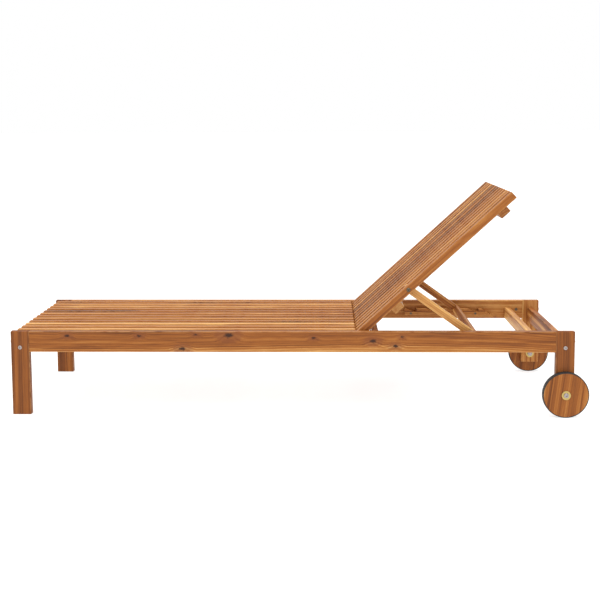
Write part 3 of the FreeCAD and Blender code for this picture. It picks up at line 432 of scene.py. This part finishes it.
# %% The slat row tree
def slat_row_tree():
    tree = bpy.data.node_groups.new("slat_row", "GeometryNodeTree")
    given = inputs_of(tree, length=1.0, width=0.022, depth=0.027, easing=0.003, round_end=0.0,
                      pitch=0.045)
    for name, kind in (("Count", "NodeSocketInt"), ("Finish", "NodeSocketMaterial")):
        tree.interface.new_socket(name, in_out="INPUT", socket_type=kind)
    tree.interface.new_socket("Slats", in_out="OUTPUT", socket_type="NodeSocketGeometry")
    given = make(tree, "NodeGroupInput").outputs

    # A straight line whose points crowd towards its ends
    line = make(tree, "GeometryNodeCurvePrimitiveLine", {"End": (1, 0, 0)})
    fine = make(tree, "GeometryNodeResampleCurve", {"Curve": line.outputs[0], "Count": 72})
    share = make(tree, "GeometryNodeSplineParameter").outputs["Factor"]
    turned = calc(tree, "COSINE", calc(tree, "MULTIPLY", share, math.pi))
    crowded = calc(tree, "MULTIPLY_ADD", turned, -0.5, 0.5)
    along = make(tree, "ShaderNodeCombineXYZ", [calc(tree, "MULTIPLY", crowded, given["Length"])])
    path = make(tree, "GeometryNodeSetPosition",
                {"Geometry": fine.outputs[0], "Position": along.outputs[0]})

    # The section: a rectangle with rounded corners
    section = make(tree, "GeometryNodeCurvePrimitiveQuadrilateral",
                   {"Width": given["Width"], "Height": given["Depth"]})
    rounded = make(tree, "GeometryNodeFilletCurve",
                   {"Curve": section.outputs[0], "Count": 6, "Radius": given["Easing"],
                    "Limit Radius": True}, mode="POLY")
    slat = make(tree, "GeometryNodeCurveToMesh",
                {"Curve": path.outputs[0], "Profile Curve": rounded.outputs[0], "Fill Caps": True})

    # Ends: both eased, and the first one half round if Round End is 1
    spot = make(tree, "GeometryNodeInputPosition").outputs[0]
    parts = make(tree, "ShaderNodeSeparateXYZ", [spot]).outputs

    def quarter_round(distance, radius):
        """Height of a quarter circle, as a share of its radius, at a distance from its end."""
        left = calc(tree, "SUBTRACT", 1.0, calc(tree, "DIVIDE", distance, radius))
        left = calc(tree, "MAXIMUM", left, 0.0)
        return calc(tree, "SQRT", calc(tree, "SUBTRACT", 1.0, calc(tree, "MULTIPLY", left, left)))

    def eased(distance, half_size):
        """How much of a half size is left where the end is eased."""
        lost = calc(tree, "SUBTRACT", 1.0, quarter_round(distance, given["Easing"]))
        lost = calc(tree, "MULTIPLY", lost, calc(tree, "DIVIDE", given["Easing"], half_size))
        return calc(tree, "SUBTRACT", 1.0, lost)

    half_depth = calc(tree, "MULTIPLY", given["Depth"], 0.5)
    half_width = calc(tree, "MULTIPLY", given["Width"], 0.5)
    to_far_end = calc(tree, "SUBTRACT", given["Length"], parts[0])
    nearest = calc(tree, "MINIMUM", parts[0], to_far_end)
    bulge = quarter_round(parts[0], half_depth)
    bulge = make(tree, "ShaderNodeMix", [given["Round End"], None, 1.0, bulge],
                 data_type="FLOAT")
    tree.links.new(given["Round End"], bulge.inputs[0])
    scale_y = eased(nearest, half_width)
    scale_z = calc(tree, "MULTIPLY", eased(nearest, half_depth), bulge.outputs[0])
    shaped = make(tree, "ShaderNodeCombineXYZ",
                  [parts[0], calc(tree, "MULTIPLY", parts[1], scale_y),
                   calc(tree, "MULTIPLY", parts[2], scale_z)])
    finished = make(tree, "GeometryNodeSetPosition",
                    {"Geometry": slat.outputs[0], "Position": shaped.outputs[0]})

    # Each point keeps its place in its own slat, for the paler edges: rubbing and a painted highlight
    middle = make(tree, "ShaderNodeCombineXYZ", [calc(tree, "MULTIPLY", given["Length"], 0.5)])
    own = vector_calc(tree, "SUBTRACT", make(tree, "GeometryNodeInputPosition").outputs[0],
                      middle.outputs[0])
    finished = make(tree, "GeometryNodeStoreNamedAttribute",
                    {"Geometry": finished.outputs[0], "Name": "own_place", "Value": own},
                    data_type="FLOAT_VECTOR", domain="POINT")

    # The row, centred, with each slat numbered
    step = make(tree, "ShaderNodeCombineXYZ", [0.0, given["Pitch"], 0.0])
    gaps = calc(tree, "MULTIPLY", calc(tree, "SUBTRACT", given["Count"], 1.0), -0.5)
    start = vector_calc(tree, "SCALE", step.outputs[0])
    tree.links.new(gaps, start.node.inputs["Scale"])
    points = make(tree, "GeometryNodeMeshLine",
                  {"Count": given["Count"], "Start Location": start, "Offset": step.outputs[0]})
    row = make(tree, "GeometryNodeInstanceOnPoints",
               {"Points": points.outputs[0], "Instance": finished.outputs[0]})
    numbered = make(tree, "GeometryNodeStoreNamedAttribute",
                    {"Geometry": row.outputs[0], "Name": "slat",
                     "Value": make(tree, "GeometryNodeInputIndex").outputs[0]},
                    data_type="FLOAT", domain="INSTANCE")
    real = make(tree, "GeometryNodeRealizeInstances", {"Geometry": numbered.outputs[0]})
    coloured = make(tree, "GeometryNodeSetMaterial",
                    {"Geometry": real.outputs[0], "Material": given["Finish"]})
    make(tree, "NodeGroupOutput", [coloured.outputs[0]])
    return tree


SLAT_ROW = slat_row_tree()
print("slat row tree:", len(SLAT_ROW.nodes), "nodes")

# %% Draw a tree's result as a plain mesh
def grown(name, tree, values, transform=None, places=()):
    """Run a geometry tree with named inputs, and keep the result as a plain mesh object.
    places are points and the ways that they face, for a tree that puts something on each."""
    points = bpy.data.meshes.new(name + "_holder")
    points.from_pydata([point for point, facing in places], [], [])
    if places:
        facings = points.attributes.new("facing", "FLOAT_VECTOR", "POINT")
        facings.data.foreach_set("vector", [part for _, facing in places for part in facing])
    holder = bpy.data.objects.new(name + "_holder", points)
    bpy.context.scene.collection.objects.link(holder)
    modifier = holder.modifiers.new("draw", "NODES")
    modifier.node_group = tree
    keys = {item.name: item.identifier for item in tree.interface.items_tree
            if item.item_type == "SOCKET" and item.in_out == "INPUT"}
    for label, value in values.items():
        modifier[keys[label]] = value
    bpy.context.view_layer.update()
    evaluated = holder.evaluated_get(bpy.context.evaluated_depsgraph_get())
    mesh = bpy.data.meshes.new_from_object(evaluated)
    bpy.data.objects.remove(holder)
    if transform:
        mesh.transform(transform)
    mesh.name = name
    piece = bpy.data.objects.new(name, mesh)
    bpy.context.scene.collection.objects.link(piece)
    return piece


def shade_softly(piece, degrees=35):
    """Smooth shading, with edges sharper than an angle kept crisp."""
    mesh = piece.data
    shape = bmesh.new()
    shape.from_mesh(mesh)
    for face in shape.faces:
        face.smooth = True
    for edge in shape.edges:
        edge.smooth = edge.calc_face_angle(0) < math.radians(degrees)
    shape.to_mesh(mesh)
    shape.free()


print("piece helpers ready")

# %% Timber for a row of slats
def slat_timber(name, centre, half, turn, seed, figure=1.0):
    """Like timber(), but the number of a slat picks its piece of the log and its tone."""
    material = bpy.data.materials.new(name)
    material.use_nodes = True
    tree = material.node_tree
    shader = tree.nodes["Principled BSDF"]
    place, normal = board_space(tree, centre, turn)
    along = turn @ Vector((1, 0, 0))
    facing = calc(tree, "ABSOLUTE", vector_calc(tree, "DOT_PRODUCT", normal, along))
    number = make(tree, "ShaderNodeAttribute", attribute_name="slat").outputs["Fac"]
    tone = make(tree, "ShaderNodeAttribute", attribute_name="tone").outputs["Fac"]
    dice = make(tree, "ShaderNodeTexWhiteNoise", {"W": number}, noise_dimensions="1D")
    log = vector_calc(tree, "MULTIPLY_ADD", dice.outputs["Color"], (3.0, 0.16, 0.14), (0.0, -0.08, -0.07))
    moved = vector_calc(tree, "ADD", place, log)
    wood = make(tree, "ShaderNodeGroup", node_tree=TIMBER)
    own = make(tree, "ShaderNodeAttribute", attribute_name="own_place").outputs["Vector"]
    for key, value in (("Vector", moved), ("Tone", tone), ("Edge", rubbed_and_highlit_edge(tree, own, half)),
                       ("Seed", calc(tree, "MULTIPLY_ADD", number, 1.37, seed)),
                       ("End Grain", fade(tree, facing, 0.6, 0.9))):
        tree.links.new(value, wood.inputs[key])
    wood.inputs["Figure"].default_value = figure
    wood.inputs["Sap Radius"].default_value = 0.118
    tree.links.new(wood.outputs["Colour"], shader.inputs["Base Color"])
    tree.links.new(wood.outputs["Roughness"], shader.inputs["Roughness"])
    bump = make(tree, "ShaderNodeBump", {"Strength": 0.35, "Distance": 0.0006,
                                         "Height": wood.outputs["Height"]})
    tree.links.new(bump.outputs[0], shader.inputs["Normal"])
    shader.inputs["IOR"].default_value = 1.45
    shader.inputs["Specular IOR Level"].default_value = 0.26
    return material


def tone_slats(piece, tones):
    """Write each slat's tone on its own points."""
    mesh = piece.data
    numbers = np.empty(len(mesh.vertices), dtype=np.float32)
    mesh.attributes["slat"].data.foreach_get("value", numbers)
    tone = mesh.attributes.new("tone", "FLOAT", "POINT")
    tone.data.foreach_set("value", np.array(tones, dtype=np.float32)[numbers.round().astype(int)])


def slat_row(name, nodes, turn, body, easing, round_end, seed, tones):
    """Replace a row of CAD slats by finely rounded ones, in the same places."""
    centre, half = oriented(nodes[0], turn)
    last_centre, _ = oriented(nodes[-1], turn)
    pitch = (last_centre.y - centre.y) / (len(nodes) - 1)
    middle = (centre + last_centre) / 2
    material = slat_timber("timber_" + name, middle, half, turn, seed)
    values = {"Length": 2 * half.x, "Width": 2 * half.y, "Depth": 2 * half.z, "Easing": easing,
              "Round End": round_end, "Pitch": pitch, "Count": len(nodes), "Finish": material}
    start = Matrix.Translation(turn @ Vector((-half.x, 0, 0)))
    piece = grown(name, SLAT_ROW, values, Matrix.Translation(middle) @ start @ turn.to_4x4())
    tone_slats(piece, tones)
    shade_softly(piece)
    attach(piece, body)
    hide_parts(*nodes)
    print(name, len(piece.data.polygons), "faces")
    return piece


# %% Seat and backrest
SEAT_TONES = (-0.02, -0.24, 0.0, -0.05, 0.12, -0.01, 0.11, -0.04, 0.08, -0.14, -0.09, -0.20)
seat_nodes = [f"seat_slat_{i:02d}" for i in range(1, 13)]
slat_row("seat_slats", seat_nodes, LENGTHWISE, "frame", 0.003, 0.0, 11, SEAT_TONES)

BACK_TONES = (-0.38, -0.17, -0.15, -0.12, 0.04, -0.09, -0.07, -0.02, -0.24, -0.18, -0.29, -0.27, -0.35)
back_nodes = (["backrest_stile_left"] + [f"backrest_slat_{i:02d}" for i in range(1, 12)]
              + ["backrest_stile_right"])
slat_row("backrest_slats", back_nodes, BACK, "backrest", 0.002, 1.0, 23, BACK_TONES)

# %% [markdown]
# ## Bolts and washers
# The legs, the prop and the wheels are held by bolts with low domed heads and a six-sided
# socket. CAD knows where each bolt is, so its islands of faces are measured for the place
# and direction of every head. One tree then turns a finely shaped bolt and sets a copy on
# each place, and a second tree sweeps a rounded section round a circle for the washers and
# the tyres.

# %% Find the bolts in a CAD node
def islands(node_name):
    """The separate solids of a CAD node, each as an array of its points."""
    shape = bmesh.new()
    shape.from_mesh(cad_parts[node_name].data)
    bmesh.ops.remove_doubles(shape, verts=shape.verts, dist=1e-6)
    waiting = set(shape.verts)
    found = []
    while waiting:
        group = [waiting.pop()]
        for vertex in group:
            near = {edge.other_vert(vertex) for edge in vertex.link_edges} & waiting
            waiting -= near
            group += near
        found.append(np.array([vertex.co[:] for vertex in group]))
    shape.free()
    return sorted(found, key=lambda points: tuple(points.min(0).round(4)))


def bolt_places(node_name, head_height):
    """Where each bolt's head meets its seat, and the way that the head faces."""
    places = []
    for points in islands(node_name):
        low, high = points.min(0), points.max(0)
        middle = (low + high) / 2
        axis = int(np.argmax(high - low))
        spread = np.abs(np.delete(points - middle, axis, axis=1)).max(1)
        widest = points[spread > spread.max() * 0.95, axis].mean()
        facing = np.zeros(3)
        facing[axis] = 1 if widest > middle[axis] else -1
        seat = middle.copy()
        seat[axis] = (high if facing[axis] > 0 else low)[axis] - facing[axis] * head_height
        places.append((tuple(seat), tuple(facing)))
    return places


print("connector bolts:", len(bolt_places("connector_bolts", 0.003)))

# %% Trees for bolts and rings
def set_on_places(tree, given, geometry):
    """End a tree: a copy on every point of the holder, facing as it says, made real."""
    facing = make(tree, "GeometryNodeInputNamedAttribute", {"Name": "facing"},
                  data_type="FLOAT_VECTOR")
    turn = make(tree, "FunctionNodeAlignRotationToVector", {"Vector": facing.outputs[0]}, axis="Z")
    copies = make(tree, "GeometryNodeInstanceOnPoints",
                  {"Points": given["Places"], "Instance": geometry, "Rotation": turn.outputs[0]})
    real = make(tree, "GeometryNodeRealizeInstances", {"Geometry": copies.outputs[0]})
    coloured = make(tree, "GeometryNodeSetMaterial",
                    {"Geometry": real.outputs[0], "Material": given["Finish"]})
    make(tree, "NodeGroupOutput", [coloured.outputs[0]])


def placed_tree(name, **sizes):
    """A new tree with its places, its sizes and its finish as named inputs."""
    tree = bpy.data.node_groups.new(name, "GeometryNodeTree")
    tree.interface.new_socket("Places", in_out="INPUT", socket_type="NodeSocketGeometry")
    inputs_of(tree, **sizes)
    tree.interface.new_socket("Finish", in_out="INPUT", socket_type="NodeSocketMaterial")
    tree.interface.new_socket("Pieces", in_out="OUTPUT", socket_type="NodeSocketGeometry")
    return tree, make(tree, "NodeGroupInput").outputs


def cylinder(tree, sides, radius, depth, middle, rings=1, steps=1):
    """A cylinder along z about a height, with rings on its ends and steps up its side."""
    drawn = make(tree, "GeometryNodeMeshCylinder",
                 {"Vertices": sides, "Side Segments": steps, "Fill Segments": rings,
                  "Radius": radius, "Depth": depth})
    up = make(tree, "ShaderNodeCombineXYZ", [0.0, 0.0, middle]).outputs[0]
    return make(tree, "GeometryNodeTransform",
                {"Geometry": drawn.outputs["Mesh"], "Translation": up}).outputs[0]


def bolt_tree():
    tree, given = placed_tree("bolt", head_radius=0.008, head_height=0.003, crown=0.001,
                              socket_radius=0.003, socket_depth=0.002, shank_radius=0.003,
                              length=0.1)
    half = calc(tree, "MULTIPLY", given["Head Height"], 0.5)
    head = cylinder(tree, 48, given["Head Radius"], given["Head Height"], half, rings=8, steps=3)
    # The crown: the top falls away towards the rim, most of all near it
    spot = make(tree, "GeometryNodeInputPosition").outputs[0]
    flat = vector_calc(tree, "MULTIPLY", spot, (1, 1, 0))
    share = calc(tree, "DIVIDE", vector_calc(tree, "LENGTH", flat), given["Head Radius"])
    height = make(tree, "ShaderNodeSeparateXYZ", [spot]).outputs[2]
    raised = calc(tree, "DIVIDE", height, given["Head Height"])
    fall = calc(tree, "MULTIPLY", calc(tree, "POWER", share, 4.0), calc(tree, "MAXIMUM", raised, 0.0))
    down = make(tree, "ShaderNodeCombineXYZ",
                [0.0, 0.0, calc(tree, "MULTIPLY", fall, calc(tree, "MULTIPLY", given["Crown"], -1.0))])
    domed = make(tree, "GeometryNodeSetPosition", {"Geometry": head, "Offset": down.outputs[0]})
    socket = cylinder(tree, 6, given["Socket Radius"],
                      calc(tree, "MULTIPLY", given["Socket Depth"], 2.0), given["Head Height"])
    cut = make(tree, "GeometryNodeMeshBoolean", {"Mesh 1": domed.outputs[0], "Mesh 2": socket},
               operation="DIFFERENCE", solver="EXACT")
    shank = cylinder(tree, 24, given["Shank Radius"], given["Length"],
                     calc(tree, "MULTIPLY", given["Length"], -0.5))
    both = make(tree, "GeometryNodeJoinGeometry")
    tree.links.new(shank, both.inputs[0])
    tree.links.new(cut.outputs["Mesh"], both.inputs[0])
    set_on_places(tree, given, both.outputs[0])
    return tree


def ring_tree():
    tree, given = placed_tree("ring", inner_radius=0.005, outer_radius=0.015, thickness=0.002,
                              easing=0.0005)
    total = calc(tree, "ADD", given["Inner Radius"], given["Outer Radius"])
    wall = calc(tree, "SUBTRACT", given["Outer Radius"], given["Inner Radius"])
    circle = make(tree, "GeometryNodeCurvePrimitiveCircle",
                  {"Resolution": 96, "Radius": calc(tree, "MULTIPLY", total, 0.5)})
    section = make(tree, "GeometryNodeCurvePrimitiveQuadrilateral",
                   {"Width": wall, "Height": given["Thickness"]})
    rounded = make(tree, "GeometryNodeFilletCurve",
                   {"Curve": section.outputs[0], "Count": 4, "Radius": given["Easing"],
                    "Limit Radius": True}, mode="POLY")
    swept = make(tree, "GeometryNodeCurveToMesh",
                 {"Curve": circle.outputs[0], "Profile Curve": rounded.outputs[0]})
    set_on_places(tree, given, swept.outputs[0])
    return tree


BOLT, RING = bolt_tree(), ring_tree()
print("bolt and ring trees:", len(BOLT.nodes), len(RING.nodes), "nodes")

# %% [markdown]
# ## Metal and rubber
# The bolts are zinc plated, which is grey and faintly mottled. The washers are yellow
# passivated, and the screws bronzed. Metals need few colours, but their roughness has to
# vary, because that breaks up the highlights as handling and weather do.

# %% Metal and rubber finishes
def metal(name, light, dark, roughness, scale=900.0, scratch=0.15):
    """Plated metal: mottled colour with painted shade in its recesses, and fine scratches in roughness and
    bump.
    """
    material = bpy.data.materials.new(name)
    material.use_nodes = True
    tree = material.node_tree
    shader = tree.nodes["Principled BSDF"]
    where = make(tree, "ShaderNodeTexCoord").outputs["Object"]
    mapping = make(tree, "ShaderNodeMapping", [where, None, None, (scale,) * 3]).outputs[0]
    mottle = noise(tree, mapping, 3.0, 0.6).outputs["Fac"]
    fine = noise(tree, vector_calc(tree, "MULTIPLY", mapping, (6, 6, 0.8)), 2.0).outputs["Fac"]
    colour = mix_colour(tree, fade(tree, mottle, 0.35, 0.65), dark, light)
    # Painted shade: ambient occlusion darkens the colour in recesses such as sockets and cross recesses
    painted_recess_shade = make(tree, "ShaderNodeAmbientOcclusion", {"Distance": 0.0025}, samples=8)
    clear_of_painted_shade = fade(tree, painted_recess_shade.outputs["AO"], 0.35, 0.85)
    colour = mix_colour(tree, clear_of_painted_shade, (0.035, 0.028, 0.022, 1), colour)
    tree.links.new(colour, shader.inputs["Base Color"])
    rough = calc(tree, "MULTIPLY_ADD", fine, scratch, calc(tree, "MULTIPLY_ADD", mottle, 0.12, roughness))
    tree.links.new(rough, shader.inputs["Roughness"])
    bump = make(tree, "ShaderNodeBump", {"Strength": 0.2, "Distance": 0.0002, "Height": fine})
    tree.links.new(bump.outputs[0], shader.inputs["Normal"])
    shader.inputs["Metallic"].default_value = 1.0
    return material


BRIGHT = metal("bright_zinc", (0.50, 0.44, 0.42, 1), (0.28, 0.24, 0.23, 1), 0.22)
YELLOW = metal("yellow_zinc", (0.62, 0.47, 0.17, 1), (0.44, 0.33, 0.12, 1), 0.25)
BRONZED = metal("bronzed_steel", (0.20, 0.16, 0.11, 1), (0.09, 0.07, 0.05, 1), 0.30)


def rubber(name):
    """Black rubber with a fine grain, dusty where the noise is high."""
    material = bpy.data.materials.new(name)
    material.use_nodes = True
    tree = material.node_tree
    shader = tree.nodes["Principled BSDF"]
    where = make(tree, "ShaderNodeTexCoord").outputs["Object"]
    dust = noise(tree, make(tree, "ShaderNodeMapping", [where, None, None, (60, 60, 60)]).outputs[0],
                 4.0, 0.65).outputs["Fac"]
    grain = noise(tree, make(tree, "ShaderNodeMapping", [where, None, None, (1500,) * 3]).outputs[0],
                  2.0).outputs["Fac"]
    colour = mix_colour(tree, fade(tree, dust, 0.45, 0.80), (0.008, 0.008, 0.009, 1),
                        (0.035, 0.032, 0.028, 1))
    tree.links.new(colour, shader.inputs["Base Color"])
    tree.links.new(calc(tree, "MULTIPLY_ADD", grain, 0.2, 0.5), shader.inputs["Roughness"])
    bump = make(tree, "ShaderNodeBump", {"Strength": 0.25, "Distance": 0.0003, "Height": grain})
    tree.links.new(bump.outputs[0], shader.inputs["Normal"])
    return material


RUBBER = rubber("tyre_rubber")
for node_name in ("seat_screws", "backrest_screws", "rack_screws", "prop_screws", "barrel_nuts"):
    give(node_name, BRONZED)
for node_name in ("pivot_pins", "pivot_washers", "axle_nuts"):
    give(node_name, BRIGHT)
print("metals and rubber ready")

# %% Set the bolts
def bolts(node_name, body, finish, head_radius, head_height, crown, socket_radius, socket_depth,
          shank_radius, length):
    """Replace a CAD node's bolts by finely shaped ones, in the same places."""
    values = {"Head Radius": head_radius, "Head Height": head_height, "Crown": crown,
              "Socket Radius": socket_radius, "Socket Depth": socket_depth,
              "Shank Radius": shank_radius, "Length": length, "Finish": finish}
    piece = grown(node_name + "_turned", BOLT, values, places=bolt_places(node_name, head_height))
    shade_softly(piece)
    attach(piece, body)
    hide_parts(node_name)
    print(node_name, len(piece.data.polygons), "faces")


bolts("connector_bolts", "frame", BRIGHT,
      head_radius=0.00675, head_height=0.003, crown=0.0016, socket_radius=0.0029,
      socket_depth=0.0020, shank_radius=0.003, length=0.098)
bolts("prop_pivot_bolts", "backrest", BRONZED,
      head_radius=0.007, head_height=0.0035, crown=0.0018, socket_radius=0.0035,
      socket_depth=0.0018, shank_radius=0.004, length=0.0587)
bolts("axle_bolts", "frame", BRIGHT,
      head_radius=0.0085, head_height=0.0045, crown=0.0020, socket_radius=0.0035,
      socket_depth=0.0030, shank_radius=0.005, length=0.0566)

# %% Set the washers and tyres
def ring_places(node_name):
    """The middle of each ring in a CAD node. They all lie across the lounger."""
    return [(tuple((points.min(0) + points.max(0)) / 2), (0.0, 1.0, 0.0)) for points in islands(node_name)]


def rings(node_name, body, slot, finish, inner, outer, thickness, easing):
    """Replace a CAD node's washers or tyre by rings with eased edges, in the same places."""
    values = {"Inner Radius": inner, "Outer Radius": outer, "Thickness": thickness,
              "Easing": easing, "Finish": finish}
    piece = grown(node_name + "_turned", RING, values, places=ring_places(node_name))
    shade_softly(piece)
    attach(piece, body)
    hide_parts(node_name)
    low, high = np.array(piece.bound_box).min(0), np.array(piece.bound_box).max(0)
    print(node_name, len(piece.data.polygons), "faces", (high - low).round(4))


rings("axle_washers", "frame", "yellow_zinc", YELLOW,
      inner=0.0052, outer=0.0155, thickness=0.002, easing=0.0004)
for side in ("left", "right"):
    rings(f"wheel_tyre_{side}", f"wheel_{side}", "tyre_rubber", RUBBER,
          inner=0.076, outer=0.079, thickness=0.020, easing=0.0009)

# %% [markdown]
# ## Floor and light
# The lounger stands on an opal table that glows a little from below, in white air, so the
# floor has no horizon and shadows stay faint. One wide soft light above is stronger than
# the rest, so that top faces are the brightest and the sides of the slats stay deep.

# %% Studio
FLOOR_REACH = 60
FLOOR_GREY = 0.42
FLOOR_GLOW = 0.68

world = bpy.data.worlds.new("studio")
bpy.context.scene.world = world
world.use_nodes = True
world.node_tree.nodes["Background"].inputs["Color"].default_value = (1, 1, 1, 1)
world.node_tree.nodes["Background"].inputs["Strength"].default_value = 1.0

overhead_data = bpy.data.lights.new("overhead", "SUN")
overhead_data.energy = 2.4
overhead_data.angle = math.radians(70)
overhead = bpy.data.objects.new("overhead", overhead_data)
overhead.location = (0, -1, 4)
overhead.rotation_euler = (math.radians(8), math.radians(-6), 0)
bpy.context.scene.collection.objects.link(overhead)

floor_mesh = bpy.data.meshes.new("floor")
corners = [(x * FLOOR_REACH, y * FLOOR_REACH, 0) for x, y in ((-1, -1), (1, -1), (1, 1), (-1, 1))]
floor_mesh.from_pydata(corners, [], [(0, 1, 2, 3)])
floor = bpy.data.objects.new("floor", floor_mesh)
bpy.context.scene.collection.objects.link(floor)
opal = bpy.data.materials.new("opal_table")
opal.use_nodes = True
opal_shader = opal.node_tree.nodes["Principled BSDF"]
opal_shader.inputs["Base Color"].default_value = (FLOOR_GREY, FLOOR_GREY, FLOOR_GREY, 1)
opal_shader.inputs["Roughness"].default_value = 0.95
opal_shader.inputs["Specular IOR Level"].default_value = 0.1
opal_shader.inputs["Emission Color"].default_value = (1, 1, 1, 1)
opal_shader.inputs["Emission Strength"].default_value = FLOOR_GLOW
floor_mesh.materials.append(opal)
bpy.context.scene.view_settings.view_transform = "Standard"
print("lights", len(bpy.data.lights))
